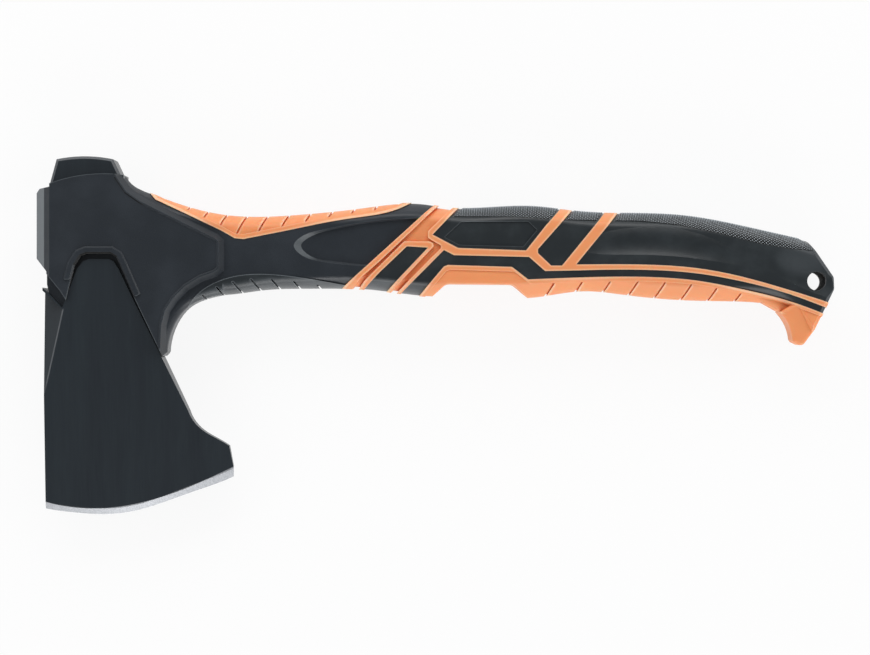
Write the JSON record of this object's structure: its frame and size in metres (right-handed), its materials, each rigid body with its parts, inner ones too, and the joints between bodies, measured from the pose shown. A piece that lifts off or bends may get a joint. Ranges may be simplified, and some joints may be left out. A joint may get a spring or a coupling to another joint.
{
  "type": "hatchet",
  "caption": "One-hand hatchet: black coated steel head with a bright ground edge, in a moulded two-colour handle with ribbed soft grip, butt hook and lanyard hole.",
  "frame": {"origin": "centre of the flat top bar of the arch ridge on the side the axe lies on, which is the resting plane", "axes": "+X along the handle from the head to the butt, +Y up the head from the cutting edge to the poll, +Z out of the resting plane through the thickness"},
  "size_m": [0.3581, 0.1613, 0.03],
  "materials": {
    "coated_steel": "satin black coating, ground edge bright",
    "core_nylon": "black glass-filled nylon, fine matt grain",
    "black_soft": "black soft-touch elastomer",
    "orange_soft": "orange soft-touch elastomer"
  },
  "bodies": {
    "root": {"axe_head": "coated_steel", "handle_core": "core_nylon", "neck_spine_insert": "orange_soft", "choke_grip_insert": "black_soft", "grip_sleeve": "orange_soft", "back_panel_front": "black_soft", "back_panel_middle": "black_soft", "back_panel_rear": "black_soft", "front_bar": "black_soft", "belly_stripe": "black_soft"}
  },
  "joints": []
}
